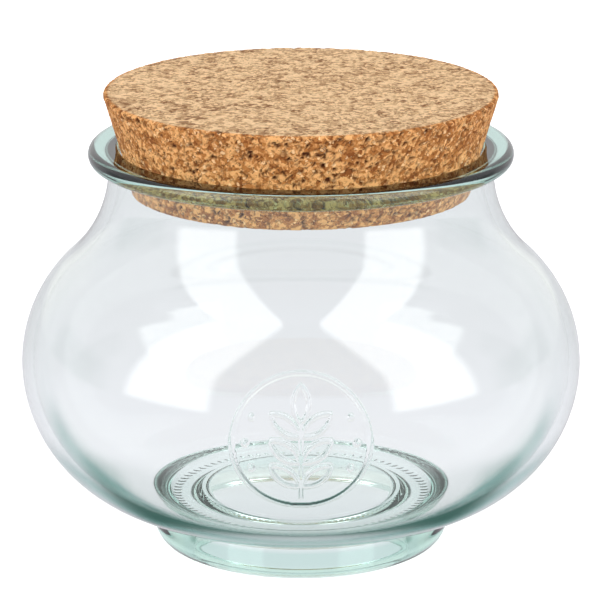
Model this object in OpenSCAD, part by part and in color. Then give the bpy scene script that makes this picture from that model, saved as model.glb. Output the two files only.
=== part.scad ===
// Squat bulb-shaped storage jar of pressed glass with a tapered cork stopper.
// Sizes are in millimetres. The jar stands on z = 0 with its axis on the Z axis,
// and the raised badge on its belly faces -Y.

/* [Belly] */
// Widest outside diameter of the belly
belly_d = 142; // [128:1:160]
// Height of the widest line above the table
belly_z = 48; // [46:0.5:56]
// Radius of the outline below the widest line
low_curve_r = 37; // [34:0.5:39]
// Radius of the outline above the widest line
high_curve_r = 36; // [30:0.5:42]
// Radius of the hollow curve that turns the belly up into the neck
neck_curve_r = 33; // [24:0.5:40]
// Thickness of the glass wall
wall_t = 2.9; // [2:0.1:4]
// Thickness of the glass under the inside floor
base_t = 6.5; // [4:0.5:8]
// How much the inside floor rises towards its middle
floor_rise = 1.5; // [0.5:0.1:3]

/* [Mouth and rim] */
// Inside diameter of the mouth
mouth_d = 91; // [84:0.5:98]
// How far the rim bead stands out from the neck
rim_reach = 5.1; // [3:0.1:8]
// Height of the rim bead
rim_h = 4.2; // [3.6:0.1:7]
// Rounding of the rim bead's two outer edges
rim_round = 1.5; // [0.5:0.1:1.7]
// Straight stretch of neck between the hollow curve and the rim bead
neck_len = 1; // [0.2:0.1:10]
// Rounding of the mouth's inner edge, where the stopper seats
lip_round = 1.5; // [0.5:0.1:2]

/* [Foot] */
// Outside diameter of the foot ring
foot_d = 75.6; // [72:0.2:82]
// Width of the rounding between the resting ring and the foot's side
foot_round_w = 5.8; // [3:0.1:8]
// Width of the flat ring that touches the table
rest_w = 3.5; // [2:0.1:5]
// Height of the rounding between the resting ring and the foot's side
foot_round_h = 6.5; // [3:0.1:8]
// Height of the rounding on the inner side of the resting ring
foot_inner_round = 2; // [1:0.1:3]
// Slope of the recess wall under the base, in degrees from upright
recess_draft = 12; // [5:1:20]

/* [Badge] */
// Outside diameter of the round badge on the belly
badge_d = 34; // [30:1:38]
// Height of the badge's middle above the belly's widest line
badge_lift = 0; // [-4:0.5:6]
// Width of the raised lines
badge_line_w = 0.9; // [0.6:0.1:1.4]
// Height of the raised lines above the belly
badge_relief = 0.4; // [0.2:0.05:0.8]
// Length of each leaf of the sprig
leaf_len = 9.5; // [7:0.5:10]
// Width of each leaf of the sprig
leaf_w = 4.6; // [3.5:0.1:5]
// Pairs of leaves on the stem
leaf_pairs = 3; // [2:1:3]
// Clear gap between the sprig's ends and the round border
sprig_gap = 1.75; // [1:0.05:2.5]
// Angle between a leaf and the stem, in degrees
leaf_angle = 52; // [40:1:60]
// Diameter of the dots around the sprig
dot_d = 1.5; // [1:0.1:2]
// Distance from the dots' middles to the round border
dot_inset = 2.7; // [2:0.1:3.2]
// Angle from one dot to the next, in degrees
dot_turn = 28; // [20:1:32]

/* [Stopper] */
// How much narrower than the mouth the stopper's bottom is
cork_lead = 6; // [3:0.1:9]
// How much wider the stopper's top is than its bottom
cork_taper = 14; // [11:0.1:18]
// Height of the stopper
cork_h = 25; // [20:0.5:32]
// Rounding of the stopper's two edges
cork_round = 0.8; // [0.2:0.1:2]
// Clear gap between the stopper's side and the mouth's inner edge
seat_gap = 0.2; // [0.05:0.05:0.5]

/* [Hidden] */
belly_r = belly_d / 2;
mouth_r = mouth_d / 2;
foot_r = foot_d / 2;
rest_r = foot_r - foot_round_w;

// Centres of the outline's three curves, measured from the axis
low_curve_x = belly_r - low_curve_r;
high_curve_x = belly_r - high_curve_r;
neck_r = mouth_r + wall_t;
neck_curve_x = neck_r + neck_curve_r;
rim_r = neck_r + rim_reach;

// The two upper curves meet where both have turned by this angle
neck_turn = acos(1 - (belly_r - neck_r) / (high_curve_r + neck_curve_r));
neck_z = belly_z + (high_curve_r + neck_curve_r) * sin(neck_turn);
rim_low_z = neck_z + neck_len;
rim_z = rim_low_z + rim_h;

// The belly's lower curve runs into the foot's side at this angle below level
foot_meet = acos((foot_r - low_curve_x) / low_curve_r);
floor_z = belly_z - low_curve_r + wall_t;
recess_z = floor_z - base_t;

// The stopper's cone stands clear of the lip's rounding by the seat gap
cork_bottom_r = (mouth_d - cork_lead) / 2;
cork_top_r = cork_bottom_r + cork_taper / 2;
cork_slope = atan((cork_top_r - cork_bottom_r) / cork_h);
lip_x = mouth_r + lip_round;
lip_z = rim_z - lip_round;
cork_drop = ((lip_x - cork_bottom_r) * cos(cork_slope) - lip_round - seat_gap) / sin(cork_slope);
cork_z = lip_z - cork_drop;

// Steps per curve, fine enough that no flat is seen
long_steps = 18;
short_steps = 5;
dome_steps = 4;
overlap = 1;
same_point = 0.001;

// The border circle starts here, away from the belly's widest line
border_turn = 17;
$fn = 96;

// The badge's skin reaches this far past its border, along the belly
badge_reach = badge_d / 2 + 2 * badge_line_w;
border_inner_r = badge_d / 2 - badge_line_w;
stem_len = 2 * (border_inner_r - sprig_gap) - leaf_len;
stem_foot = -(stem_len + leaf_len) / 2;
leaf_pitch = stem_len / leaf_pairs;

// Points on a round or oval curve about (x, z), from angle a0 to angle a1
function arc(x, z, rx, rz, a0, a1, steps) = [
    for (i = [0 : steps])
        let (a = a0 + (a1 - a0) * i / steps)
            [x + rx * cos(a), z + rz * sin(a)]
];

// Points on a shallow dome, from its edge at radius r to its top on the axis
function dome(r, z, rise) =
    let (
        ball_r = (r * r + rise * rise) / (2 * rise),
        half = asin(r / ball_r)
    )
    arc(0, z + rise - ball_r, ball_r, ball_r, 90 - half, 90, dome_steps);

function reversed(points) = [for (i = [len(points) - 1 : -1 : 0]) points[i]];

// The same outline with each point that repeats the one before it left out
function tidy(points) = [
    for (i = [0 : len(points) - 1])
        if (i == 0 || norm(points[i] - points[i - 1]) > same_point) points[i]
];

// Outside of the glass, from the resting ring up to the mouth's inner edge
function outer_outline() = concat(
    arc(rest_r, foot_round_h, foot_r - rest_r, foot_round_h, -90, 0, short_steps + 2),
    arc(low_curve_x, belly_z, low_curve_r, low_curve_r, -foot_meet, 0, long_steps),
    arc(high_curve_x, belly_z, high_curve_r, high_curve_r, 0, neck_turn, long_steps),
    arc(neck_curve_x, neck_z, neck_curve_r, neck_curve_r, 180 + neck_turn, 180, long_steps / 2),
    [[neck_r, rim_low_z]],
    arc(rim_r - rim_round, rim_low_z + rim_round, rim_round, rim_round, -90, 0, short_steps),
    arc(rim_r - rim_round, rim_z - rim_round, rim_round, rim_round, 0, 90, short_steps),
    arc(lip_x, lip_z, lip_round, lip_round, 90, 180, short_steps)
);

// Inside of the glass, from the neck down to the floor's middle
function inner_outline() = concat(
    arc(neck_curve_x, neck_z, neck_curve_r + wall_t, neck_curve_r + wall_t, 180, 180 + neck_turn, long_steps / 2),
    arc(high_curve_x, belly_z, high_curve_r - wall_t, high_curve_r - wall_t, neck_turn, 0, long_steps),
    arc(low_curve_x, belly_z, low_curve_r - wall_t, low_curve_r - wall_t, 0, -90, long_steps),
    dome(low_curve_x, floor_z, floor_rise)
);

// Recess under the base, from its middle out to the resting ring
function base_outline() =
    let (
        ring_x = rest_r - rest_w,
        side_x = ring_x - foot_inner_round,
        top_x = side_x - (recess_z - foot_inner_round) * tan(recess_draft)
    )
    concat(
        reversed(dome(top_x, recess_z, floor_rise)),
        arc(ring_x, foot_inner_round, foot_inner_round, foot_inner_round, 180, 270, short_steps)
    );

module leaf_shape(length, width) {
    curve_r = (length * length + width * width) / (4 * width);
    translate([0, length / 2])
        intersection() {
            translate([curve_r - width / 2, 0])
                circle(r = curve_r);
            translate([width / 2 - curve_r, 0])
                circle(r = curve_r);
        }
}

// One leaf drawn as a raised outline, its foot at the origin and its tip along +Y
module leaf() {
    difference() {
        leaf_shape(leaf_len, leaf_w);
        translate([0, badge_line_w])
            leaf_shape(leaf_len - 2 * badge_line_w, leaf_w - 2 * badge_line_w);
    }
}

// Round border with an upright sprig of paired leaves and dots beside it
module badge_drawing() {
    rotate(border_turn)
        difference() {
            circle(d = badge_d);
            circle(r = border_inner_r);
        }
    translate([-badge_line_w / 2, stem_foot])
        square([badge_line_w, stem_len + badge_line_w]);
    translate([0, stem_foot + stem_len])
        leaf();
    for (pair = [0 : leaf_pairs - 1], side = [-1, 1])
        translate([0, stem_foot + (pair + 0.5) * leaf_pitch])
            rotate(-side * leaf_angle)
                leaf();
    for (step = [-1 : 1], side = [0, 180])
        rotate(side + step * dot_turn)
            translate([border_inner_r - dot_inset, 0])
                circle(d = dot_d);
}

// The badge's lines, cut to a skin that follows the belly
module badge() {
    skin_low = asin((badge_reach - badge_lift) / low_curve_r);
    skin_high = asin((badge_reach + badge_lift) / high_curve_r);
    outer_low = low_curve_r + badge_relief;
    outer_high = high_curve_r + badge_relief;
    inner_low = low_curve_r - overlap;
    inner_high = high_curve_r - overlap;
    intersection() {
        rotate_extrude()
            polygon(tidy(concat(
                arc(low_curve_x, belly_z, outer_low, outer_low, -skin_low, 0, short_steps),
                arc(high_curve_x, belly_z, outer_high, outer_high, 0, skin_high, short_steps),
                arc(high_curve_x, belly_z, inner_high, inner_high, skin_high, 0, short_steps),
                arc(low_curve_x, belly_z, inner_low, inner_low, 0, -skin_low, short_steps)
            )));
        translate([0, 0, belly_z + badge_lift])
            rotate([90, 0, 0])
                linear_extrude(belly_r + badge_relief + overlap)
                    badge_drawing();
    }
}

module glass_jar() {
    color([0.80, 0.89, 0.86, 0.45]) {
        rotate_extrude()
            polygon(tidy(concat(outer_outline(), inner_outline(), base_outline())));
        badge();
    }
}

module cork_stopper() {
    color([0.76, 0.56, 0.35])
        translate([0, 0, cork_z])
            rotate_extrude()
                polygon(concat(
                    [[0, 0]],
                    arc(cork_bottom_r - cork_round, cork_round, cork_round, cork_round,
                        -90, -cork_slope, short_steps),
                    arc(cork_top_r - cork_round, cork_h - cork_round, cork_round, cork_round,
                        -cork_slope, 90, short_steps),
                    [[0, cork_h]]
                ));
}

glass_jar();
cork_stopper();
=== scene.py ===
"""Looks of a squat glass storage jar with a tapered stopper of pressed cork.

Lengths are in metres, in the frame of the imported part: the jar stands on z = 0 with its axis on Z,
and the raised badge on its belly faces -Y.
"""

import logging
import math
from dataclasses import dataclass, field
from enum import Enum

import bpy
import numpy as np
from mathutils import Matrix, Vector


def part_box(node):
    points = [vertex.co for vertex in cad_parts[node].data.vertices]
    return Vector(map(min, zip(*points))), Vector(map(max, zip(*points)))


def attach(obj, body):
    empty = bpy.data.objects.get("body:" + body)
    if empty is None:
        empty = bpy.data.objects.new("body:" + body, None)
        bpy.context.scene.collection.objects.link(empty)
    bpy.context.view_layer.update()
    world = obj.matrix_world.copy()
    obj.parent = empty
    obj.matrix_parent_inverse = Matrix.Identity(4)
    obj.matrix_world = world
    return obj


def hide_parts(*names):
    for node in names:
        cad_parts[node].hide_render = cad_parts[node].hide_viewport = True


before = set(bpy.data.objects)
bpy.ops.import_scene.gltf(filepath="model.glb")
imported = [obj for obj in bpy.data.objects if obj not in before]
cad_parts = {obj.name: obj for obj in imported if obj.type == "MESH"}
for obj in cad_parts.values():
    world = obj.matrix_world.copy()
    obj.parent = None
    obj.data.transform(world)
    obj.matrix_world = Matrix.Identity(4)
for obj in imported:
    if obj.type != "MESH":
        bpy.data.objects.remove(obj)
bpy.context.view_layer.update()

FULL_TURN = 2 * math.pi
MM = 0.001
WHITE = (1.0, 1.0, 1.0, 1.0)

# A dome's outline stops this many degrees up, just short of the axis, where the pole closes it
DOME_END = 89.9
# Bands with different columns stop this many degrees short of each other, and are stitched there
BAND_GAP = 0.4

log = logging.getLogger("jar")

Span = tuple[float, float]
Colour = tuple[float, float, float]


class Ray(Enum):
    """Kinds of ray that the studio tells apart, by the names of Light Path's outputs."""

    CAMERA = "Is Camera Ray"
    GLOSSY = "Is Glossy Ray"
    TRANSMISSION = "Is Transmission Ray"
    SHADOW = "Is Shadow Ray"
    DIFFUSE = "Is Diffuse Ray"


class Cut(Enum):
    """How a face of the stopper was made, as the number its material reads."""

    TURNED = 0.0
    SANDED = 1.0


def smooth_step(x: np.ndarray) -> np.ndarray:
    """0 below 0, 1 above 1, and 3x^2 - 2x^3 between."""
    t = np.clip(x, 0.0, 1.0)
    return t * t * (3 - 2 * t)


def arc(x: float, z: float, rx: float, rz: float, start: float, end: float, rows: int) -> np.ndarray:
    """Points on an oval arc: (x + rx cos a, z + rz sin a), with a from start to end in equal steps.

    Args:
        x: Distance of the arc's centre from the axis.
        z: Height of the centre.
        rx: Radius across.
        rz: Radius upwards.
        start: First angle in degrees.
        end: Last angle in degrees.
        rows: Number of points.

    Returns:
        An array of (radius, height) rows.
    """
    a = np.radians(np.linspace(start, end, rows))
    return np.column_stack([x + rx * np.cos(a), z + rz * np.sin(a)])


def bend(x: float, z: float, r: float, start: float, end: float, rows: int) -> np.ndarray:
    """Points on a round arc, as arc gives them."""
    return arc(x, z, r, r, start, end, rows)


def dome_ball(radius: float, rise: float) -> Span:
    """Radius of the ball that a shallow dome is cut from, and half the dome's angle in degrees."""
    ball_r = (radius**2 + rise**2) / (2 * rise)
    return ball_r, math.degrees(math.asin(radius / ball_r))


def line(first: Span, last: Span, rows: int) -> np.ndarray:
    """Equally spaced (radius, height) rows on a straight stretch, both ends included."""
    t = np.linspace(0.0, 1.0, rows)[:, None]
    return np.asarray(first) * (1 - t) + np.asarray(last) * t


def joined(*stretches: np.ndarray) -> np.ndarray:
    """Puts stretches of an outline end to end.

    Args:
        stretches: Arrays of (radius, height) rows.

    Returns:
        One array, with each point that repeats the one before it left out.
    """
    points = np.vstack(stretches)
    steps = np.linalg.norm(np.diff(points, axis=0), axis=1)
    return points[np.concatenate([[True], steps > 1e-7])]


def even_columns(count: int) -> np.ndarray:
    """Angles of columns spread evenly round the axis."""
    return np.arange(count) * FULL_TURN / count


@dataclass
class Band:
    """Rows of a turned surface that share one set of columns.

    A point is (r cos a, r sin a, z), with (r, z) from the outline and a from the columns, and relief
    moves it along the outline's normal.
    """

    outline: np.ndarray
    columns: np.ndarray
    relief: np.ndarray | None = None
    values: dict[str, np.ndarray] = field(default_factory=dict)

    def outline_normals(self) -> np.ndarray:
        """Normals of the outline: its slope turned a quarter to the right.

        Returns:
            Unit (across, up) rows.
        """
        run = np.gradient(self.outline, axis=0)
        normal = np.column_stack([run[:, 1], -run[:, 0]])
        return normal / np.linalg.norm(normal, axis=1, keepdims=True)

    def points(self) -> np.ndarray:
        """Points of the surface, moved by the relief.

        Returns:
            A grid, rows by columns by 3.
        """
        relief = 0.0 if self.relief is None else self.relief
        normal = self.outline_normals()
        r = self.outline[:, :1] + normal[:, :1] * relief + 0.0 * self.columns
        z = self.outline[:, 1:] + normal[:, 1:] * relief + 0.0 * self.columns
        return np.stack([r * np.cos(self.columns), r * np.sin(self.columns), z], axis=2)

    def normals(self) -> np.ndarray:
        """Normals of the surface: the cross product of its slopes round and along the outline.

        Returns:
            Unit normals, rows by columns by 3.
        """
        points = self.points()
        wrapped = np.concatenate([points[:, -1:], points, points[:, :1]], axis=1)
        before, after = self.columns[-1:] - FULL_TURN, self.columns[:1] + FULL_TURN
        angles = np.concatenate([before, self.columns, after])
        round_slope = np.gradient(wrapped, angles, axis=1)[:, 1:-1]
        steps = np.linalg.norm(np.diff(self.outline, axis=0), axis=1)
        along = np.concatenate([[0.0], np.cumsum(steps)])
        normal = np.cross(round_slope, np.gradient(points, along, axis=0, edge_order=2))
        length = np.linalg.norm(normal, axis=2, keepdims=True)
        return normal / np.maximum(length, 1e-12)


@dataclass
class TurnedShell:
    """A closed surface of bands from pole to pole, each stitched to the next."""

    bands: list[Band]

    def _quads(self, first: int, rows: int, columns: int) -> np.ndarray:
        """Makes two triangles for each cell of a band's grid, facing out.

        Args:
            first: Number of the band's first point.
            rows: Rows of the grid.
            columns: Columns of the grid.

        Returns:
            Triangles as rows of three point numbers.
        """
        row, column = np.meshgrid(np.arange(rows - 1), np.arange(columns), indexing="ij")
        after = (column + 1) % columns
        a = first + row * columns + column
        b = first + row * columns + after
        c = b + columns
        d = a + columns
        return np.concatenate([np.stack([a, b, c], -1), np.stack([a, c, d], -1)]).reshape(-1, 3)

    def _stitch(
        self, low: int, low_columns: np.ndarray, high: int, high_columns: np.ndarray
    ) -> np.ndarray:
        """Triangles between two rings with different columns.

        Each step of a ring is a triangle whose third corner is the other ring's column that the steps
        before it, in order of their middle angles, have reached.

        Args:
            low: Number of the lower ring's first point.
            low_columns: Angles of the lower ring's points.
            high: Number of the upper ring's first point.
            high_columns: Angles of the upper ring's points.

        Returns:
            Triangles as rows of three point numbers.
        """
        m, n = len(low_columns), len(high_columns)
        low_mid = (low_columns + np.append(low_columns[1:], low_columns[0] + FULL_TURN)) / 2
        high_mid = (high_columns + np.append(high_columns[1:], high_columns[0] + FULL_TURN)) / 2
        i, k = np.arange(m), np.arange(n)
        reached_high = np.searchsorted(high_mid, low_mid, side="left") % n
        reached_low = np.searchsorted(low_mid, high_mid, side="right") % m
        return np.concatenate([
            np.stack([low + i, low + (i + 1) % m, high + reached_high], -1),
            np.stack([low + reached_low, high + (k + 1) % n, high + k], -1),
        ])

    def mesh(self, name: str) -> bpy.types.Object:
        """Puts the bands into one mesh object with smooth normals and the bands' own values.

        Args:
            name: Name of the object.

        Returns:
            The object, at the origin.
        """
        points, normals, faces = [], [], []
        values: dict[str, list[np.ndarray]] = {key: [] for key in self.bands[0].values}
        starts, count = [], 1
        for band in self.bands:
            grid = band.points()
            starts.append(count)
            points.append(grid.reshape(-1, 3))
            normals.append(band.normals().reshape(-1, 3))
            for key, rows in band.values.items():
                values[key].append(np.broadcast_to(rows, grid.shape[:2]).ravel())
            faces.append(self._quads(count, grid.shape[0], grid.shape[1]))
            count += grid.shape[0] * grid.shape[1]
        for k in range(len(self.bands) - 1):
            low, high = self.bands[k], self.bands[k + 1]
            last_row = starts[k] + (len(low.outline) - 1) * len(low.columns)
            faces.append(self._stitch(last_row, low.columns, starts[k + 1], high.columns))
        first, last = self.bands[0], self.bands[-1]
        poles = [[0.0, 0.0, points[0][:, 2][: len(first.columns)].mean()],
                 [0.0, 0.0, points[-1][:, 2][-len(last.columns):].mean()]]
        ring = np.arange(len(first.columns))
        ring_end = count - len(last.columns) + np.arange(len(last.columns))
        faces.append(np.stack([np.zeros_like(ring), 1 + (ring + 1) % len(ring), 1 + ring], -1))
        faces.append(np.stack([ring_end, np.roll(ring_end, -1), np.full_like(ring_end, count)], -1))
        all_points = np.vstack([poles[:1], *points, poles[1:]])
        up = np.sign(normals[-1][-1, 2])
        down = np.sign(normals[0][0, 2])
        all_normals = np.vstack([[[0, 0, down]], *normals, [[0, 0, up]]])
        mesh = mesh_of(name, all_points, np.vstack(faces))
        mesh.normals_split_custom_set_from_vertices(all_normals.astype(np.float32))
        for key, parts in values.items():
            rows = np.concatenate([parts[0][:1], *parts, parts[-1][-1:]])
            layer = mesh.attributes.new(key, "FLOAT", "POINT")
            layer.data.foreach_set("value", rows.astype(np.float32))
        return object_of(name, mesh)


def mesh_of(name: str, points: np.ndarray, triangles: np.ndarray) -> bpy.types.Mesh:
    """Makes a smooth mesh.

    Args:
        name: Name of the mesh.
        points: Rows of three.
        triangles: Rows of three point numbers.

    Returns:
        The mesh.
    """
    mesh = bpy.data.meshes.new(name)
    mesh.vertices.add(len(points))
    mesh.vertices.foreach_set("co", points.astype(np.float32).ravel())
    mesh.loops.add(triangles.size)
    mesh.loops.foreach_set("vertex_index", triangles.astype(np.int32).ravel())
    mesh.polygons.add(len(triangles))
    mesh.polygons.foreach_set("loop_start", np.arange(0, triangles.size, 3, dtype=np.int32))
    mesh.polygons.foreach_set("use_smooth", np.ones(len(triangles), bool))
    mesh.update(calc_edges=True)
    return mesh


def object_of(name: str, mesh: bpy.types.Mesh) -> bpy.types.Object:
    """Puts a mesh into the scene.

    Args:
        name: Name of the object.
        mesh: What it shows.

    Returns:
        The object, at the origin.
    """
    shown = bpy.data.objects.new(name, mesh)
    bpy.context.scene.collection.objects.link(shown)
    return shown


@dataclass
class SprigBadge:
    """Raised line drawing on the belly: a round border, an upright sprig of leaves, and dots."""

    diameter: float = 34 * MM
    line_w: float = 0.9 * MM
    relief: float = 0.4 * MM
    edge_w: float = 0.28 * MM
    leaf_len: float = 9.5 * MM
    leaf_w: float = 4.6 * MM
    leaf_pairs: int = 3
    leaf_angle: float = 52.0
    sprig_gap: float = 1.75 * MM
    dot_d: float = 1.5 * MM
    dot_inset: float = 2.7 * MM
    dot_turn: float = 28.0

    def _leaf_body(self, u: np.ndarray, v: np.ndarray, length: float, width: float) -> np.ndarray:
        """Distance to a pointed leaf on the v axis, where two equal circles overlap.

        Args:
            u: Distance to the right of the leaf's foot.
            v: Distance above it.
            length: Length of the leaf.
            width: Its width.

        Returns:
            The distance, below 0 inside.
        """
        r = (length * length + width * width) / (4 * width)
        across = r - width / 2
        return np.maximum(np.hypot(u - across, v - length / 2), np.hypot(u + across, v - length / 2)) - r

    def _leaf(self, u: np.ndarray, v: np.ndarray) -> np.ndarray:
        """Distance to a leaf's raised outline: inside the leaf but outside a smaller leaf within it.

        Args:
            u: Distance to the right of the leaf's foot.
            v: Distance above it.

        Returns:
            The distance, below 0 on the outline.
        """
        inner_len, inner_w = self.leaf_len - 2 * self.line_w, self.leaf_w - 2 * self.line_w
        inner = self._leaf_body(u, v - self.line_w, inner_len, inner_w)
        return np.maximum(self._leaf_body(u, v, self.leaf_len, self.leaf_w), -inner)

    def height(self, u: np.ndarray, v: np.ndarray) -> np.ndarray:
        """Height of the relief: a smooth step across the edge of the nearest line.

        Args:
            u: Distance to the right of the badge's middle.
            v: Distance above it.

        Returns:
            The height above the belly, from 0 to relief.
        """
        inner_r = self.diameter / 2 - self.line_w
        stem_len = 2 * (inner_r - self.sprig_gap) - self.leaf_len
        foot = -(stem_len + self.leaf_len) / 2
        pitch = stem_len / self.leaf_pairs
        ring = np.abs(np.hypot(u, v) - inner_r - self.line_w / 2) - self.line_w / 2
        stem_mid = foot + (stem_len + self.line_w) / 2
        stem = np.maximum(np.abs(u) - self.line_w / 2, np.abs(v - stem_mid) - (stem_len + self.line_w) / 2)
        nearest = np.minimum(ring, np.minimum(stem, self._leaf(u, v - foot - stem_len)))
        for pair in range(self.leaf_pairs):
            for side in (-1, 1):
                a = math.radians(side * self.leaf_angle)
                up = v - foot - (pair + 0.5) * pitch
                nearest = np.minimum(nearest, self._leaf(u * math.cos(a) - up * math.sin(a),
                                                         u * math.sin(a) + up * math.cos(a)))
        for side in (0.0, 180.0):
            for step in (-1, 0, 1):
                a = math.radians(side + step * self.dot_turn)
                r = inner_r - self.dot_inset
                dot = np.hypot(u - r * math.cos(a), v - r * math.sin(a)) - self.dot_d / 2
                nearest = np.minimum(nearest, dot)
        return self.relief * smooth_step(0.5 - nearest / self.edge_w)


@dataclass
class NodeTree:
    """A short way to add and join nodes of a shader tree."""

    tree: bpy.types.NodeTree

    def add(self, kind: str, **settings: object) -> bpy.types.Node:
        """Adds a node of a kind. A setting is a property, or an input socket by its name or number.

        Args:
            kind: The node's type without its "ShaderNode" start.
            settings: Properties, by lower-case name, and "inputs", a dict of socket to value or socket.

        Returns:
            The node.
        """
        node = self.tree.nodes.new("ShaderNode" + kind)
        inputs = settings.pop("inputs", {})
        for key, value in settings.items():
            setattr(node, key, value)
        for key, value in inputs.items():
            self.put(node.inputs[key], value)
        return node

    def put(self, socket: bpy.types.NodeSocket, value: object) -> None:
        """Links a socket to another, or sets its own value."""
        if isinstance(value, bpy.types.NodeSocket):
            self.tree.links.new(value, socket)
        else:
            socket.default_value = value

    def math(self, operation: str, *values: object, clamp: bool = False) -> bpy.types.NodeSocket:
        """The result of a Math node."""
        inputs = dict(enumerate(values))
        return self.add("Math", operation=operation, use_clamp=clamp, inputs=inputs).outputs[0]

    def mix(self, factor: object, a: object, b: object) -> bpy.types.NodeSocket:
        """The result of a Mix node for colours.

        Args:
            factor: Share of the second colour.
            a: First colour.
            b: Second colour.

        Returns:
            The mixed colour.
        """
        node = self.add("Mix", data_type="RGBA", clamp_factor=True)
        self.put(node.inputs["Factor"], factor)
        self.put(node.inputs[6], a)
        self.put(node.inputs[7], b)
        return node.outputs[2]

    def band(self, value: object, low: float, high: float) -> bpy.types.NodeSocket:
        """A smooth step in a value.

        Args:
            value: What is read.
            low: Where the step is 0.
            high: Where it is 1, above or below low.

        Returns:
            The step's result.
        """
        node = self.add("MapRange", interpolation_type="SMOOTHSTEP")
        self.put(node.inputs["Value"], value)
        node.inputs["From Min"].default_value = low
        node.inputs["From Max"].default_value = high
        return node.outputs["Result"]

    def product(self, first: object, *others: object) -> bpy.types.NodeSocket:
        """Multiplies values.

        Args:
            first: The first value.
            others: The other values.

        Returns:
            The product.
        """
        for other in others:
            first = self.math("MULTIPLY", first, other)
        return first

    def from_axis(self, x: object, y: object) -> bpy.types.NodeSocket:
        """Distance from the Z axis."""
        squares = self.math("ADD", self.math("MULTIPLY", x, x), self.math("MULTIPLY", y, y))
        return self.math("SQRT", squares)

    def emit(self, kind: str, colour: object, strength: object) -> bpy.types.NodeSocket:
        """Light of one colour, from a surface or from the background."""
        return self.add(kind, inputs={"Color": colour, "Strength": strength}).outputs[0]

    def blend(self, share: object, first: object, second: object) -> bpy.types.NodeSocket:
        """The result of a Mix Shader node."""
        return self.add("MixShader", inputs={0: share, 1: first, 2: second}).outputs[0]

    def shades(
        self, value: object, cuts: tuple[float, ...], colours: tuple[Colour, ...]
    ) -> bpy.types.NodeSocket:
        """A colour that passes smoothly from one shade to the next.

        Args:
            value: What is read.
            cuts: Value at which each shade is pure, rising.
            colours: The shades, as many as the cuts.

        Returns:
            The colour.
        """
        mixed = (*colours[0], 1.0)
        for low, high, colour in zip(cuts, cuts[1:], colours[1:]):
            mixed = self.mix(self.band(value, low, high), mixed, (*colour, 1.0))
        return mixed

    def noise(
        self, place: object, scale: float, detail: float = 2.0, rough: float = 0.5
    ) -> bpy.types.NodeSocket:
        """The value of a Noise texture."""
        inputs = {"Vector": place, "Scale": scale, "Detail": detail, "Roughness": rough}
        return self.add("TexNoise", inputs=inputs).outputs[0]


def new_material(name: str) -> tuple[bpy.types.Material, NodeTree, bpy.types.Node]:
    """An empty material with its output node.

    Args:
        name: Name of the material.

    Returns:
        The material, its tree, and the output node.
    """
    material = bpy.data.materials.new(name)
    material.use_nodes = True
    material.node_tree.nodes.clear()
    tree = NodeTree(material.node_tree)
    return material, tree, tree.add("OutputMaterial")


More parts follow.
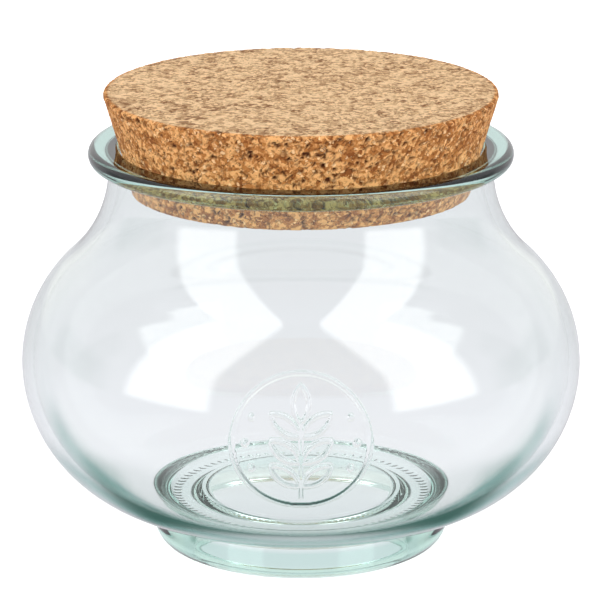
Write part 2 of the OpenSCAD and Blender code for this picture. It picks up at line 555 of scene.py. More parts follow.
@dataclass(frozen=True)
class PressedGlass:
    """Clear glass with the faint waves that a mould leaves.

    It is green where light goes a long way in it: by absorption, and by the surface's own colour at
    the rim and at the foot. Where the lower belly is seen edge on, its colour holds painted shade in
    dark green.
    """

    ior: float = 1.52
    tint: Colour = (0.20, 0.75, 0.60)
    tint_depth: float = 11.0
    edge_tint: Colour = (0.45, 0.74, 0.65)
    rim_from: float = 99.0 * MM
    rim_full: float = 101.0 * MM
    rim_share: float = 0.9
    foot_full: float = 8.0 * MM
    foot_to: float = 10.0 * MM
    foot_radii: Span = (33 * MM, 37 * MM)
    foot_share: float = 0.75
    # Painted shade of the lower belly seen edge on: its dark green, and the heights, radii and facing where
    # it lies
    belly_painted_shade: Colour = (0.13, 0.31, 0.27)
    belly_shade_full: float = 28.0 * MM
    belly_shade_to: float = 38.0 * MM
    belly_shade_radii: Span = (43 * MM, 50 * MM)
    belly_shade_facing: Span = (0.58, 0.76)
    passed_light: Colour = (0.95, 0.98, 0.97)
    wave_scale: float = 18.0
    wave_stretch: float = 0.45
    wave_height: float = 0.06 * MM
    ripple_scale: float = 108.0
    ripple_share: float = 0.06
    smear_scale: float = 60.0
    smear_roughness: float = 0.02

    def _waves(self, tree: NodeTree, place: bpy.types.NodeSocket) -> bpy.types.NodeSocket:
        """Slow waves, drawn out upwards, with finer ripples on them.

        Args:
            tree: The material's tree.
            place: Object coordinates.

        Returns:
            The surface's normal.
        """
        scale = (1.0, 1.0, self.wave_stretch)
        stretched = tree.add("Mapping", inputs={"Vector": place, "Scale": scale}).outputs[0]
        waves = tree.noise(stretched, self.wave_scale, detail=1.5)
        ripples = tree.noise(stretched, self.ripple_scale, detail=2.0)
        height = tree.math("ADD", waves, tree.math("MULTIPLY", ripples, self.ripple_share))
        bump = tree.add("Bump", inputs={"Strength": 1.0, "Distance": self.wave_height, "Height": height})
        return bump.outputs[0]

    def _colour(self, tree: NodeTree, place: bpy.types.NodeSocket) -> bpy.types.NodeSocket:
        """Colour of the surface: white, but green at the rim and the foot, and painted shade at the lower
        belly's edge.

        Args:
            tree: The material's tree.
            place: Object coordinates.

        Returns:
            The colour.
        """
        x, y, z = tree.add("SeparateXYZ", inputs={0: place}).outputs
        radius = tree.from_axis(x, y)
        rim = tree.band(z, self.rim_from, self.rim_full)
        entering = tree.math("SUBTRACT", 1.0, tree.add("NewGeometry").outputs["Backfacing"])
        foot = tree.product(tree.band(z, self.foot_to, self.foot_full),
                            tree.band(radius, *self.foot_radii), entering)
        facing = tree.add("LayerWeight", inputs={"Blend": 0.5}).outputs["Facing"]
        # Painted shade: dark green on the lower belly where it is seen edge on, standing for the floor's
        # shadow seen through it
        low = tree.product(tree.band(z, self.belly_shade_to, self.belly_shade_full), tree.band(facing, *self.belly_shade_facing),
                           tree.band(radius, *self.belly_shade_radii))
        with_painted_shade = tree.mix(low, WHITE, (*self.belly_painted_shade, 1.0))
        rim = tree.math("MULTIPLY", rim, self.rim_share)
        foot = tree.math("MULTIPLY", foot, self.foot_share)
        return tree.mix(tree.math("MAXIMUM", rim, foot), with_painted_shade, (*self.edge_tint, 1.0))

    def material(self) -> bpy.types.Material:
        """Builds the glass. Light on its way to a matt surface goes straight through it.

        Returns:
            The material.
        """
        material, tree, out = new_material("pressed_glass")
        place = tree.add("TexCoord").outputs["Object"]
        smears = tree.band(tree.noise(place, self.smear_scale, detail=4.0), 0.45, 0.75)
        shader = tree.add("BsdfPrincipled", inputs={
            "Base Color": self._colour(tree, place),
            "Roughness": tree.math("MULTIPLY", smears, self.smear_roughness),
            "IOR": self.ior,
            "Transmission Weight": 1.0,
            "Normal": self._waves(tree, place),
        })
        rays = tree.add("LightPath").outputs
        passing = tree.math("MAXIMUM", rays[Ray.SHADOW.value], rays[Ray.DIFFUSE.value])
        clear = tree.add("BsdfTransparent", inputs={"Color": (*self.passed_light, 1.0)})
        tree.put(out.inputs["Surface"], tree.blend(passing, shader.outputs[0], clear.outputs[0]))
        inside = {"Color": (*self.tint, 1.0), "Density": self.tint_depth}
        tree.put(out.inputs["Volume"], tree.add("VolumeAbsorption", inputs=inside).outputs[0])
        return material


@dataclass
class GlassJar:
    """The jar: one closed shell of pressed glass, turned from one outline, with a raised badge.

    The outline has three curves outside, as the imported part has: two below and above the widest line
    that bulge, and one that hollows into the neck. The inside runs parallel to it.
    """

    belly_r: float
    rim_z: float
    belly_z: float = 48 * MM
    low_curve_r: float = 37 * MM
    high_curve_r: float = 36 * MM
    neck_curve_r: float = 33 * MM
    wall_t: float = 2.9 * MM
    base_t: float = 6.5 * MM
    floor_rise: float = 1.5 * MM
    mouth_r: float = 45.5 * MM
    rim_reach: float = 5.1 * MM
    rim_h: float = 4.2 * MM
    rim_round: float = 2.0 * MM
    lip_round: float = 1.5 * MM
    neck_fillet: float = 0.8 * MM
    foot_r: float = 37.8 * MM
    foot_round_w: float = 5.8 * MM
    foot_round_h: float = 6.5 * MM
    foot_inner_round: float = 2 * MM
    foot_fillet: float = 1.5 * MM
    rest_w: float = 3.5 * MM
    recess_draft: float = 12.0
    knurl_count: int = 88
    knurl_columns: int = 6
    knurl_h: float = 0.22 * MM
    knurl_in: float = 1.2 * MM
    knurl_in_fade: float = 0.7 * MM
    knurl_out: float = 1.4 * MM
    knurl_out_fade: float = 0.8 * MM
    knurl_power: float = 1.5
    knurl_reach: float = 0.8
    lip_gap: float = 0.4 * MM
    badge: SprigBadge = field(default_factory=SprigBadge)
    badge_margin: float = 1.0 * MM
    badge_fine: int = 141
    badge_wide: int = 150
    glass: PressedGlass = field(default_factory=PressedGlass)
    columns: int = 180

    @property
    def low_x(self) -> float:
        """Distance of the lower curve's centre from the axis."""
        return self.belly_r - self.low_curve_r

    @property
    def high_x(self) -> float:
        """Distance of the upper curve's centre from the axis."""
        return self.belly_r - self.high_curve_r

    @property
    def neck_r(self) -> float:
        """Outside radius of the neck."""
        return self.mouth_r + self.wall_t

    @property
    def neck_x(self) -> float:
        """Distance of the hollow curve's centre from the axis."""
        return self.neck_r + self.neck_curve_r

    @property
    def neck_turn(self) -> float:
        """Angle in degrees at which the upper curve meets the hollow one."""
        drop = (self.belly_r - self.neck_r) / (self.high_curve_r + self.neck_curve_r)
        return math.degrees(math.acos(1 - drop))

    @property
    def neck_z(self) -> float:
        """Height of the hollow curve's centre."""
        reach = self.high_curve_r + self.neck_curve_r
        return self.belly_z + reach * math.sin(math.radians(self.neck_turn))

    @property
    def rest_out(self) -> float:
        """Outer radius of the resting ring."""
        return self.foot_r - self.foot_round_w

    def foot_bands(self) -> list[Band]:
        """Outlines the recess under the base, and the resting ring with its small bumps.

        Returns:
            The recess, from its middle outwards, and the ring.
        """
        rest_in = self.rest_out - self.rest_w
        edge_r = self.foot_inner_round
        side_x = rest_in - edge_r
        recess_z = self.belly_z - self.low_curve_r + self.wall_t - self.base_t
        top_x = side_x - (recess_z - edge_r) * math.tan(math.radians(self.recess_draft))
        ball_r, half = dome_ball(top_x, self.floor_rise)
        dome = bend(0.0, recess_z + self.floor_rise - ball_r, ball_r, DOME_END, 90 - half, rows=12)
        recess = joined(
            dome,
            line(dome[-1], (side_x, edge_r), rows=8),
            bend(rest_in, edge_r, edge_r, 180, 250, rows=6),
        )
        ring = joined(
            bend(rest_in, edge_r, edge_r, 258, 270, rows=3),
            line((rest_in, 0.0), (self.rest_out, 0.0), rows=9),
            arc(self.rest_out, self.foot_round_h, self.foot_round_w, self.foot_round_h, -90, -55, rows=10),
        )
        columns = even_columns(self.knurl_count * self.knurl_columns)
        relief = self._knurl(ring[:, :1], columns)
        return [Band(recess, even_columns(self.columns)), Band(ring, columns, relief)]

    def _knurl(self, r: np.ndarray, columns: np.ndarray) -> np.ndarray:
        """Relief of the resting ring: sunk by the bumps' height, except where a bump stands.

        A bump's crest is a power of the cosine of its own turn, and fades out along the outline.

        Args:
            r: Radii of the ring's rows, as a column.
            columns: Angles.

        Returns:
            The relief, rows by columns.
        """
        bump_in, bump_out = self.rest_out - self.knurl_in, self.rest_out + self.knurl_out
        along = smooth_step((r - bump_in) / self.knurl_in_fade)
        along = along * smooth_step((bump_out - r) / self.knurl_out_fade)
        crest = np.clip(np.cos(self.knurl_count * columns), 0.0, 1.0) ** self.knurl_power
        lift = self.knurl_h * smooth_step((self.foot_r - r) / (self.foot_round_w * self.knurl_reach))
        return -lift * (1 - crest * along)

    def side_bands(self) -> list[Band]:
        """Outlines the outside from the foot up to the neck.

        Returns:
            The foot's side with the lower belly, the belly with its badge, and the shoulder.
        """
        fillet_x = self.foot_r + self.foot_fillet
        fillet_reach = self.low_curve_r + self.foot_fillet
        fillet_meet = math.degrees(math.acos((fillet_x - self.low_x) / fillet_reach))
        fillet_z = self.belly_z - fillet_reach * math.sin(math.radians(fillet_meet))
        reach = self.badge.diameter / 2 + self.badge_margin
        low_angle = math.degrees(math.asin(reach / self.low_curve_r))
        high_angle = math.degrees(math.asin(reach / self.high_curve_r))
        lower = joined(
            arc(self.rest_out, self.foot_round_h, self.foot_round_w, self.foot_round_h, -50, 0, rows=12),
            line((self.foot_r, self.foot_round_h), (self.foot_r, fillet_z), rows=6),
            bend(fillet_x, fillet_z, self.foot_fillet, 180, 180 - fillet_meet, rows=9),
            bend(self.low_x, self.belly_z, self.low_curve_r, -fillet_meet, -low_angle, rows=30),
        )
        badge_rows = joined(
            bend(self.low_x, self.belly_z, self.low_curve_r, BAND_GAP - low_angle, 0, rows=62),
            bend(self.high_x, self.belly_z, self.high_curve_r, 0, high_angle - BAND_GAP, rows=62),
        )
        shoulder = joined(
            bend(self.high_x, self.belly_z, self.high_curve_r, high_angle, self.neck_turn, rows=14),
            bend(self.neck_x, self.neck_z, self.neck_curve_r, 180 + self.neck_turn, 180, rows=24),
        )
        columns = self.badge_columns()
        u = badge_rows[:, :1] * np.cos(columns)
        v = badge_rows[:, 1:] - self.belly_z + 0.0 * columns
        relief = np.where(np.sin(columns) < 0, self.badge.height(u, v), 0.0)
        even = even_columns(self.columns)
        return [Band(lower, even), Band(badge_rows, columns, relief), Band(shoulder, even)]

    def badge_columns(self) -> np.ndarray:
        """Spreads columns for the belly: close together across the badge, and wider elsewhere.

        Returns:
            Rising angles.
        """
        front = 1.5 * math.pi
        half = math.asin((self.badge.diameter / 2 + 1.5 * self.badge_margin) / self.belly_r)
        fine = np.linspace(front - half, front + half, self.badge_fine)
        share = (FULL_TURN - 2 * half) / self.badge_wide
        before = np.linspace(0, front - half, round((front - half) / share), endpoint=False)
        after = np.linspace(front + half, FULL_TURN, round((FULL_TURN - front - half) / share) + 1)[1:-1]
        return np.concatenate([before, fine, after])

    def rim_bands(self) -> list[Band]:
        """Outlines the bead round the mouth, from the neck over the top to the inner edge.

        Returns:
            One band.
        """
        low = self.rim_z - self.rim_h
        fillet_x = self.neck_r + self.neck_fillet
        bead_x = self.neck_r + self.rim_reach - self.rim_round
        lip_x = self.mouth_r + self.lip_round
        bead = joined(
            bend(fillet_x, low - self.neck_fillet, self.neck_fillet, 180, 90, rows=6),
            line((fillet_x, low), (bead_x, low), rows=5),
            bend(bead_x, low + self.rim_round, self.rim_round, -90, 0, rows=9),
            bend(bead_x, self.rim_z - self.rim_round, self.rim_round, 0, 90, rows=9),
            line((bead_x, self.rim_z), (lip_x, self.rim_z), rows=5),
            bend(lip_x, self.rim_z - self.lip_round, self.lip_round, 90, 180, rows=9),
        )
        return [Band(bead, even_columns(self.columns))]

    def inside_bands(self) -> list[Band]:
        """Outlines the inside, from under the lip down to the middle of the floor.

        Returns:
            One band.
        """
        t = self.wall_t
        ball_r, half = dome_ball(self.low_x, self.floor_rise)
        dome_z = self.belly_z - self.low_curve_r + t + self.floor_rise - ball_r
        lip_z = self.rim_z - self.lip_round - self.lip_gap
        inside = joined(
            line((self.mouth_r, lip_z), (self.mouth_r, self.neck_z), rows=4),
            bend(self.neck_x, self.neck_z, self.neck_curve_r + t, 180, 180 + self.neck_turn, rows=22),
            bend(self.high_x, self.belly_z, self.high_curve_r - t, self.neck_turn, 0, rows=22),
            bend(self.low_x, self.belly_z, self.low_curve_r - t, 0, -90, rows=34),
            bend(0.0, dome_z, ball_r, 90 - half, DOME_END, rows=14),
        )
        return [Band(inside, even_columns(self.columns))]

    def build(self) -> bpy.types.Object:
        """Builds the shell, dresses it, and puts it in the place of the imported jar.

        Returns:
            The shell.
        """
        bands = self.foot_bands() + self.side_bands() + self.rim_bands() + self.inside_bands()
        jar = TurnedShell(bands).mesh("jar_shell")
        jar.data.materials.append(self.glass.material())
        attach(jar, "jar")
        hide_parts("glass_jar")
        log.info("jar_shell: %d triangles", len(jar.data.polygons))
        return jar


def scattered(cells: np.ndarray, salt: int) -> np.ndarray:
    """A repeatable number from 0 to 1 for each whole-number cell, by mixing its bits.

    Args:
        cells: Whole numbers, last axis 3.
        salt: Picks one of many independent sets of numbers.

    Returns:
        An array without the last axis.
    """
    x, y, z = (cells[..., k].astype(np.int64).astype(np.uint64) for k in range(3))
    h = x * np.uint64(73856093) ^ y * np.uint64(19349663) ^ z * np.uint64(83492791)
    h = h + np.uint64(salt) * np.uint64(0x9E3779B97F4A7C15)
    h = (h ^ (h >> np.uint64(30))) * np.uint64(0xBF58476D1CE4E5B9)
    h = (h ^ (h >> np.uint64(27))) * np.uint64(0x94D049BB133111EB)
    h = h ^ (h >> np.uint64(31))
    return (h >> np.uint64(11)).astype(float) / float(1 << 53)


@dataclass(frozen=True)
class Granules:
    """Cork granules pressed together: each point in space belongs to its nearest scattered seed."""

    size: float
    salt: int

    def at(self, points: np.ndarray) -> tuple[np.ndarray, np.ndarray, np.ndarray]:
        """Looks up the granules at points.

        Each cube of the given size holds one seed, and the two nearest seeds give the granule and its
        distance to the next one.

        Args:
            points: Places, rows of 3.

        Returns:
            The distance from the border between granules, as a share of their size, and two numbers
            from 0 to 1 that differ from granule to granule.
        """
        scaled = points / self.size
        cell = np.floor(scaled).astype(int)
        nearest = np.full(len(points), np.inf)
        second = np.full(len(points), np.inf)
        tone = np.zeros(len(points))
        other = np.zeros(len(points))
        for dx in (-1, 0, 1):
            for dy in (-1, 0, 1):
                for dz in (-1, 0, 1):
                    there = cell + np.array([dx, dy, dz])
                    seed = there + np.stack([scattered(there, self.salt + k) for k in (1, 2, 3)], -1)
                    away = np.linalg.norm(seed - scaled, axis=1)
                    closer = away < nearest
                    second = np.where(closer, nearest, np.minimum(second, away))
                    tone = np.where(closer, scattered(there, self.salt + 4), tone)
                    other = np.where(closer, scattered(there, self.salt + 5), other)
                    nearest = np.minimum(nearest, away)
        return second - nearest, tone, other


@dataclass(frozen=True)
class PressedCork:
    """Agglomerated cork: granules of many tans with dark crevices, specks and pale chips.

    A turned face shows warm browns, and a sanded one paler tans with more contrast.
    """

    dark: Colour = (0.25, 0.075, 0.015)
    middle: Colour = (0.47, 0.18, 0.047)
    light: Colour = (0.80, 0.41, 0.155)
    crevice: Colour = (0.075, 0.018, 0.003)
    chip: Colour = (0.93, 0.62, 0.33)
    sanded_dark: Colour = (0.22, 0.095, 0.036)
    sanded_middle: Colour = (0.50, 0.30, 0.148)
    sanded_light: Colour = (0.84, 0.58, 0.33)
    flake_scale: float = 1150.0
    wobble_scale: float = 900.0
    wobble: float = 1.2 * MM
    speck_scale: float = 1100.0
    grain_scale: float = 2600.0
    flake_share: float = 0.58
    chip_share: float = 0.75
    sanded_contrast: float = 2.3
    sanded_middle_tone: float = 0.48
    sanded_calm: float = 0.6
    bump_height: float = 0.25 * MM

    def flake_group(self) -> bpy.types.NodeTree:
        """Builds the group that gives the fine flakes inside granules.

        Returns:
            The group, which puts out their tone, specks, chips and height.
        """
        group = bpy.data.node_groups.new("cork_flakes", "ShaderNodeTree")
        group.interface.new_socket("Vector", in_out="INPUT", socket_type="NodeSocketVector")
        group.interface.new_socket("Scale", in_out="INPUT", socket_type="NodeSocketFloat")
        for name in ("Tone", "Speck", "Chip", "Height"):
            group.interface.new_socket(name, in_out="OUTPUT", socket_type="NodeSocketFloat")
        tree = NodeTree(group)
        given = group.nodes.new("NodeGroupInput").outputs
        out = group.nodes.new("NodeGroupOutput")
        place = given["Vector"]
        wobble = tree.add("TexNoise", inputs={"Vector": place, "Scale": self.wobble_scale, "Detail": 2.0})
        shift = tree.add("VectorMath", operation="MULTIPLY_ADD", inputs={
            0: wobble.outputs["Color"], 1: (self.wobble, self.wobble, self.wobble), 2: place})
        cells = {"Vector": shift.outputs[0], "Scale": given["Scale"]}
        flakes = tree.add("TexVoronoi", inputs=cells).outputs
        edge = tree.add("TexVoronoi", feature="DISTANCE_TO_EDGE", inputs=cells).outputs["Distance"]
        first, second, _ = tree.add("SeparateColor", inputs={0: flakes["Color"]}).outputs
        speckled = tree.noise(place, self.speck_scale, detail=3.0, rough=0.6)
        speck = tree.math("MULTIPLY", tree.band(edge, 0.10, 0.0), tree.band(speckled, 0.50, 0.62))
        chip = tree.math("MULTIPLY", tree.band(second, 0.90, 0.93), tree.band(edge, 0.05, 0.2))
        grain = tree.noise(place, self.grain_scale, detail=3.0, rough=0.65)
        tone = tree.math("MULTIPLY_ADD", grain, 0.6, tree.math("MULTIPLY", first, 0.7))
        tree.put(out.inputs["Tone"], tone)
        tree.put(out.inputs["Speck"], speck)
        tree.put(out.inputs["Chip"], chip)
        tree.put(out.inputs["Height"], tree.math("SUBTRACT", tree.math("MULTIPLY", grain, 0.5), speck))
        return group

    def material(self) -> bpy.types.Material:
        """Builds the cork from the granules' own values and the flakes inside them.

        Returns:
            The material.
        """
        material, tree, out = new_material("pressed_cork")
        place = tree.add("TexCoord").outputs["Object"]
        given = {"Vector": place, "Scale": self.flake_scale}
        flakes = tree.add("Group", node_tree=self.flake_group(), inputs=given).outputs
        tone, crack, sanded = (tree.add("Attribute", attribute_name=name).outputs["Fac"]
                               for name in ("granule_tone", "crevice", "cut"))
        fine = tree.math("MULTIPLY", flakes["Tone"], self.flake_share)
        mixed = tree.math("MULTIPLY_ADD", tone, 1 - self.flake_share, fine, clamp=True)
        turned = tree.shades(mixed, (0.30, 0.50, 0.72), (self.dark, self.middle, self.light))
        centred = tree.math("SUBTRACT", mixed, self.sanded_middle_tone)
        spread = tree.math("MULTIPLY_ADD", centred, self.sanded_contrast, 0.5)
        pale = (self.sanded_dark, self.sanded_middle, self.sanded_light)
        flat = tree.shades(spread, (0.02, 0.5, 0.98), pale)
        body = tree.mix(sanded, turned, flat)
        body = tree.mix(tree.math("MULTIPLY", flakes["Chip"], self.chip_share), body, (*self.chip, 1.0))
        dull = tree.math("SUBTRACT", 1.0, tree.math("MULTIPLY", sanded, self.sanded_calm))
        cracked = tree.math("MULTIPLY", tree.math("MAXIMUM", crack, flakes["Speck"]), dull)
        bump = tree.add("Bump", inputs={
            "Strength": 0.7, "Distance": self.bump_height, "Height": flakes["Height"]})
        shader = tree.add("BsdfPrincipled", inputs={
            "Base Color": tree.mix(cracked, body, (*self.crevice, 1.0)),
            "Roughness": 0.85,
            "Specular IOR Level": 0.25,
            "Normal": bump.outputs[0],
        })
        tree.put(out.inputs["Surface"], shader.outputs[0])
        return material


@dataclass
class CorkStopper:
    """The stopper: a tapered disc of pressed cork with granules, crevices and pits in its surface."""

    low_z: float
    top_z: float
    low_r: float = 42.5 * MM
    top_r: float = 49.5 * MM
    edge_round: float = 0.8 * MM
    granule: float = 2.6 * MM
    small_granule: float = 1.1 * MM
    warp: float = 0.35 * MM
    warp_turn: float = 2100.0
    warp_slow: float = 900.0
    warp_bend: float = 3.0
    crevice_w: float = 0.14
    crevice_from: float = 0.25
    crevice_fade: float = 0.3
    crevice_share: float = 0.75
    crevice_depth: float = 0.28 * MM
    pit_from: float = 0.90
    pit_fade: float = 0.04
    pit_rim: float = 0.25
    pit_depth: float = 0.6 * MM
    uneven: float = 0.10 * MM
    sanded_depth: float = 0.45
    small_share: float = 0.35
    row_step: float = 0.45 * MM
    ring_gap: float = 0.5 * MM
    ring_radii: tuple[float, float, float] = (25 * MM, 12 * MM, 5 * MM)
    columns: int = 640
    cork: PressedCork = field(default_factory=PressedCork)

    def _roughened(self, outline: np.ndarray, columns: np.ndarray, cut: Cut) -> Band:
        """A band whose surface sinks where granules meet and where one has broken out.

        Args:
            outline: Rows of (radius, height).
            columns: Angles.
            cut: How this face was made. A sanded one is flatter.

        Returns:
            The band, with the values that the material reads.
        """
        smooth = Band(outline, columns).points()
        flat = smooth.reshape(-1, 3)
        shape = smooth.shape[:2]
        slow = self.warp_bend * np.sin(flat[:, [2, 0, 1]] * self.warp_slow)
        warped = flat + self.warp * np.sin(flat[:, [1, 2, 0]] * self.warp_turn + slow)
        border, tone, kind = Granules(self.granule, salt=11).at(warped)
        small_border, small_tone, _ = Granules(self.small_granule, salt=47).at(warped)
        crack = smooth_step((self.crevice_w - border) / self.crevice_w)
        crack = crack * smooth_step((small_tone - self.crevice_from) / self.crevice_fade)
        pit = smooth_step((small_tone - self.pit_from) / self.pit_fade)
        pit = pit * smooth_step(small_border / self.pit_rim)
        depth = self.crevice_depth * crack + self.pit_depth * pit + self.uneven * kind
        softened = self.sanded_depth if cut is Cut.SANDED else 1.0
        mixed = (1 - self.small_share) * tone + self.small_share * small_tone
        values = {
            "granule_tone": mixed.reshape(shape),
            "crevice": np.clip(self.crevice_share * crack + pit, 0, 1).reshape(shape),
            "cut": np.full(shape, cut.value),
        }
        return Band(outline, columns, -softened * depth.reshape(shape), values)

    def _side(self) -> np.ndarray:
        """Outlines the sloping side with its two rounded edges.

        Returns:
            Rows of (radius, height), from the bottom up.
        """
        e = self.edge_round
        height = self.top_z - self.low_z
        slope = math.degrees(math.atan((self.top_r - self.low_r) / height))
        low_edge = bend(self.low_r - e, self.low_z + e, e, -90, -slope, rows=5)
        top_edge = bend(self.top_r - e, self.top_z - e, e, -slope, 90, rows=7)
        return joined(low_edge, line(low_edge[-1], top_edge[0], round(height / self.row_step)), top_edge)

    def build(self) -> bpy.types.Object:
        """Builds the stopper, dresses it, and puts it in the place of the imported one.

        The flat faces are rings with fewer and fewer columns towards the axis.

        Returns:
            The stopper.
        """
        many, few = even_columns(self.columns), even_columns(self.columns // 2)
        fewer, fewest = even_columns(self.columns // 4), even_columns(self.columns // 10)
        gap = self.ring_gap
        wide, middle, small = self.ring_radii
        under = [
            (gap, middle, 10, fewest),
            (middle + 2 * gap, self.low_r - self.edge_round - gap, 28, fewer),
        ]
        over = [
            (self.top_r - self.edge_round - gap, wide, 48, many),
            (wide - gap, middle, 26, few),
            (middle - gap, small, 13, fewer),
            (small - gap, gap, 9, fewest),
        ]
        bands = [self._roughened(line((first, self.low_z), (last, self.low_z), rows), columns, Cut.SANDED)
                 for first, last, rows, columns in under]
        bands.append(self._roughened(self._side(), many, Cut.TURNED))
        bands += [self._roughened(line((first, self.top_z), (last, self.top_z), rows), columns, Cut.SANDED)
                  for first, last, rows, columns in over]
        stopper = TurnedShell(bands).mesh("cork_block")
        stopper.data.materials.append(self.cork.material())
        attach(stopper, "stopper")
        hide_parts("cork_stopper")
        log.info("cork_block: %d triangles", len(stopper.data.polygons))
        return stopper


@dataclass
class Studio:
    """Plain pale floor under soft light from two large panels in front, left and right.

    The light is in the world: a direction is bright where its angle from the front and its height
    above the floor lie within a panel. Angles are in degrees.
    """

    floor_half: float = 2.5
    floor_colour: Colour = (0.90, 0.90, 0.90)
    fibre_scale: float = 400.0
    fibre_shade: float = 0.98
    floor_lift: float = 0.38
    near_floor: float = 0.02
    far_floor: float = 0.30
    near_seen: Colour = (0.90, 0.89, 0.94)
    far_seen: Colour = (0.80, 0.80, 0.83)
    # Painted shadow: a dark green ring on the floor in front of the jar's foot, seen only through the glass
    shadow_ring_inner: Span = (38 * MM, 46 * MM)
    shadow_ring_outer: Span = (110 * MM, 86 * MM)
    shadow_ring_front: Span = (0.0, -25 * MM)
    shadow_ring_colour: Colour = (0.08, 0.17, 0.15)
    wall_colour: Colour = (0.86, 0.865, 0.89)
    fill_light: float = 0.55
    panel_light: float = 3.2
    panel_inner: Span = (38.0, 22.0)
    panel_lean: Span = (30.0, 80.0)
    panel_outer: float = 76.0
    panel_low: float = 2.0
    panel_top: float = 78.0
    edge: float = 2.5
    # Painted shade in the world: where the dark green patch low at the sides lies, its share, colour and
    # strength
    side_shade_from: Span = (82.0, 92.0)
    side_shade_to: Span = (130.0, 120.0)
    side_shade_top: Span = (18.0, 10.0)
    side_shade_share: float = 0.50
    side_shade_colour: Colour = (0.14, 0.30, 0.24)
    side_shade_strength: float = 0.7
    back_from: Span = (130.0, 145.0)
    back_top: Span = (70.0, 60.0)
    back_light: float = 0.95

    def build(self) -> None:
        """Builds the floor and the world."""
        half = self.floor_half
        corners = np.array([[-half, -half, 0], [half, -half, 0], [half, half, 0], [-half, half, 0]])
        floor = object_of("floor", mesh_of("floor", corners, np.array([[0, 1, 2], [0, 2, 3]])))
        floor.data.materials.append(self._floor_material())
        self._world()
        log.info("studio: floor and world")

    def _seen_in_glass(self, tree: NodeTree, place: bpy.types.NodeSocket) -> bpy.types.NodeSocket:
        """Colour of the floor through the glass: pale, greyer far off, with a painted shadow in front of
        the jar's foot.

        Args:
            tree: The floor's tree.
            place: Object coordinates.

        Returns:
            The colour.
        """
        x, y, _ = tree.add("SeparateXYZ", inputs={0: place}).outputs
        far = tree.band(y, self.near_floor, self.far_floor)
        shade = tree.mix(far, (*self.near_seen, 1.0), (*self.far_seen, 1.0))
        radius = tree.from_axis(x, y)
        # Painted shadow: a dark green ring in front of the jar's foot, in what the glass shows of the floor
        ring = tree.product(tree.band(radius, *self.shadow_ring_inner), tree.band(radius, *self.shadow_ring_outer),
                            tree.band(y, *self.shadow_ring_front))
        return tree.mix(ring, shade, (*self.shadow_ring_colour, 1.0))

    def _floor_material(self) -> bpy.types.Material:
        """Builds matt paper with a soft shadow, which glass shows in an even tone with a painted shadow
        ring.

        Returns:
            The material.
        """
        material, tree, out = new_material("studio_paper")
        place = tree.add("TexCoord").outputs["Object"]
        fibre = tree.noise(place, self.fibre_scale, detail=3.0)
        dull = tuple(self.fibre_shade * c for c in self.floor_colour)
        colour = tree.mix(fibre, (*dull, 1.0), (*self.floor_colour, 1.0))
        paper = tree.add("BsdfDiffuse", inputs={"Color": colour})
        rays = tree.add("LightPath").outputs
        lift = tree.emit("Emission", WHITE, tree.math("MULTIPLY", rays[Ray.CAMERA.value], self.floor_lift))
        lifted = tree.add("AddShader", inputs={0: paper.outputs[0], 1: lift})
        seen = tree.emit("Emission", self._seen_in_glass(tree, place), 1.0)
        through = tree.math("MAXIMUM", rays[Ray.TRANSMISSION.value], rays[Ray.GLOSSY.value])
        tree.put(out.inputs["Surface"], tree.blend(through, lifted.outputs[0], seen))
        return material

    def _panel(self, tree: NodeTree, turn: object, height: object) -> bpy.types.NodeSocket:
        """Mask of the two panels, whose inner edges lean in towards the top.

        Args:
            tree: The world's tree.
            turn: Angle from the front, the same to the left and right.
            height: Angle above the floor.

        Returns:
            1 within a panel and 0 outside.
        """
        lean = tree.add("MapRange", inputs={
            "Value": height, "From Min": self.panel_lean[0], "From Max": self.panel_lean[1],
            "To Min": self.panel_inner[0], "To Max": self.panel_inner[1]}).outputs["Result"]
        return tree.product(
            tree.band(tree.math("SUBTRACT", turn, lean), -self.edge, self.edge),
            tree.band(turn, self.panel_outer + self.edge, self.panel_outer - self.edge),
            tree.band(height, self.panel_low - self.edge, self.panel_low + self.edge),
            tree.band(height, self.panel_top + self.edge, self.panel_top - self.edge),
        )

    def _world(self) -> None:
        """World: white to the camera, and a pale room with two panels and painted shade low at the sides to
        everything else.
        """
        scene = bpy.context.scene
        world = bpy.data.worlds.new("studio")
        scene.world = world
        world.use_nodes = True
        world.node_tree.nodes.clear()
        tree = NodeTree(world.node_tree)
        out = tree.add("OutputWorld")
        x, y, z = tree.add("SeparateXYZ", inputs={0: tree.add("TexCoord").outputs["Generated"]}).outputs
        across, ahead = tree.math("ABSOLUTE", x), tree.math("MULTIPLY", y, -1.0)
        turn = tree.math("MULTIPLY", tree.math("ARCTAN2", across, ahead), 180 / math.pi)
        height = tree.math("MULTIPLY", tree.math("ARCSINE", z), 180 / math.pi)
        rays = tree.add("LightPath").outputs
        wall = tree.emit("Background", (*self.wall_colour, 1.0), 1.0)
        fill = tree.emit("Background", (*self.wall_colour, 1.0), self.fill_light)
        room = tree.blend(rays[Ray.DIFFUSE.value], wall, fill)
        lit = tree.blend(self._panel(tree, turn, height), room,
                         tree.emit("Background", WHITE, self.panel_light))
        # Painted shade: a dark green patch low down at the sides, which the glass shows as dark bands
        side = tree.product(tree.band(turn, *self.side_shade_from), tree.band(turn, *self.side_shade_to),
                            tree.band(height, *self.side_shade_top), self.side_shade_share)
        lit = tree.blend(side, lit, tree.emit("Background", (*self.side_shade_colour, 1.0), self.side_shade_strength))
        behind = tree.product(tree.band(turn, *self.back_from), tree.band(height, *self.back_top),
                              tree.math("SUBTRACT", 1.0, rays[Ray.DIFFUSE.value]))
        lit = tree.blend(behind, lit, tree.emit("Background", WHITE, self.back_light))
        white = tree.emit("Background", WHITE, 1.0)
        tree.put(out.inputs["Surface"], tree.blend(rays[Ray.CAMERA.value], lit, white))
        scene.view_settings.view_transform = "Standard"


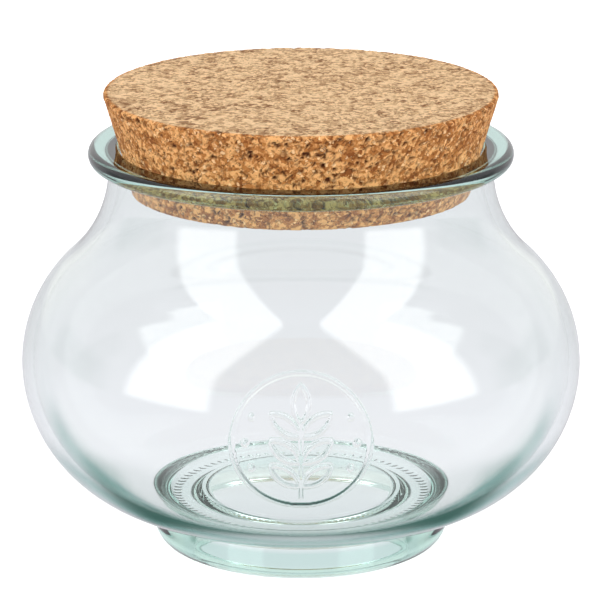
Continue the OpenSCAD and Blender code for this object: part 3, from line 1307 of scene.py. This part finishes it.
@dataclass
class PhotoCamera:
    """A long lens that looks slightly down on the jar, as in the photograph."""

    distance: float = 1.0
    elevation: float = 16.17
    target_z: float = 63.24 * MM
    focal_px: float = 3936.7
    picture_px: float = 600.0
    axis_px: float = 300.98
    sensor: float = 36.0

    def build(self) -> None:
        """Places the camera in front of the jar and makes it the scene's."""
        data = bpy.data.cameras.new("camera")
        data.sensor_width = self.sensor
        data.lens = self.focal_px / self.picture_px * self.sensor
        data.shift_x = (self.picture_px / 2 - self.axis_px) / self.picture_px
        camera = object_of("camera", data)
        up = math.radians(self.elevation)
        camera.location = (0.0, -self.distance * math.cos(up), self.target_z + self.distance * math.sin(up))
        camera.rotation_euler = (math.pi / 2 - up, 0.0, 0.0)
        bpy.context.scene.camera = camera
        log.info("camera: %.0f mm lens at %.2f m", data.lens, self.distance)


def main() -> None:
    """Builds the studio, the jar and its stopper."""
    logging.basicConfig(level=logging.INFO, format="%(name)s: %(message)s")
    Studio().build()
    PhotoCamera().build()
    low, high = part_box("glass_jar")
    GlassJar(belly_r=round(high.y, 4), rim_z=high.z).build()
    low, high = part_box("cork_stopper")
    CorkStopper(low_z=low.z, top_z=high.z).build()


if __name__ == "__main__":
    main()
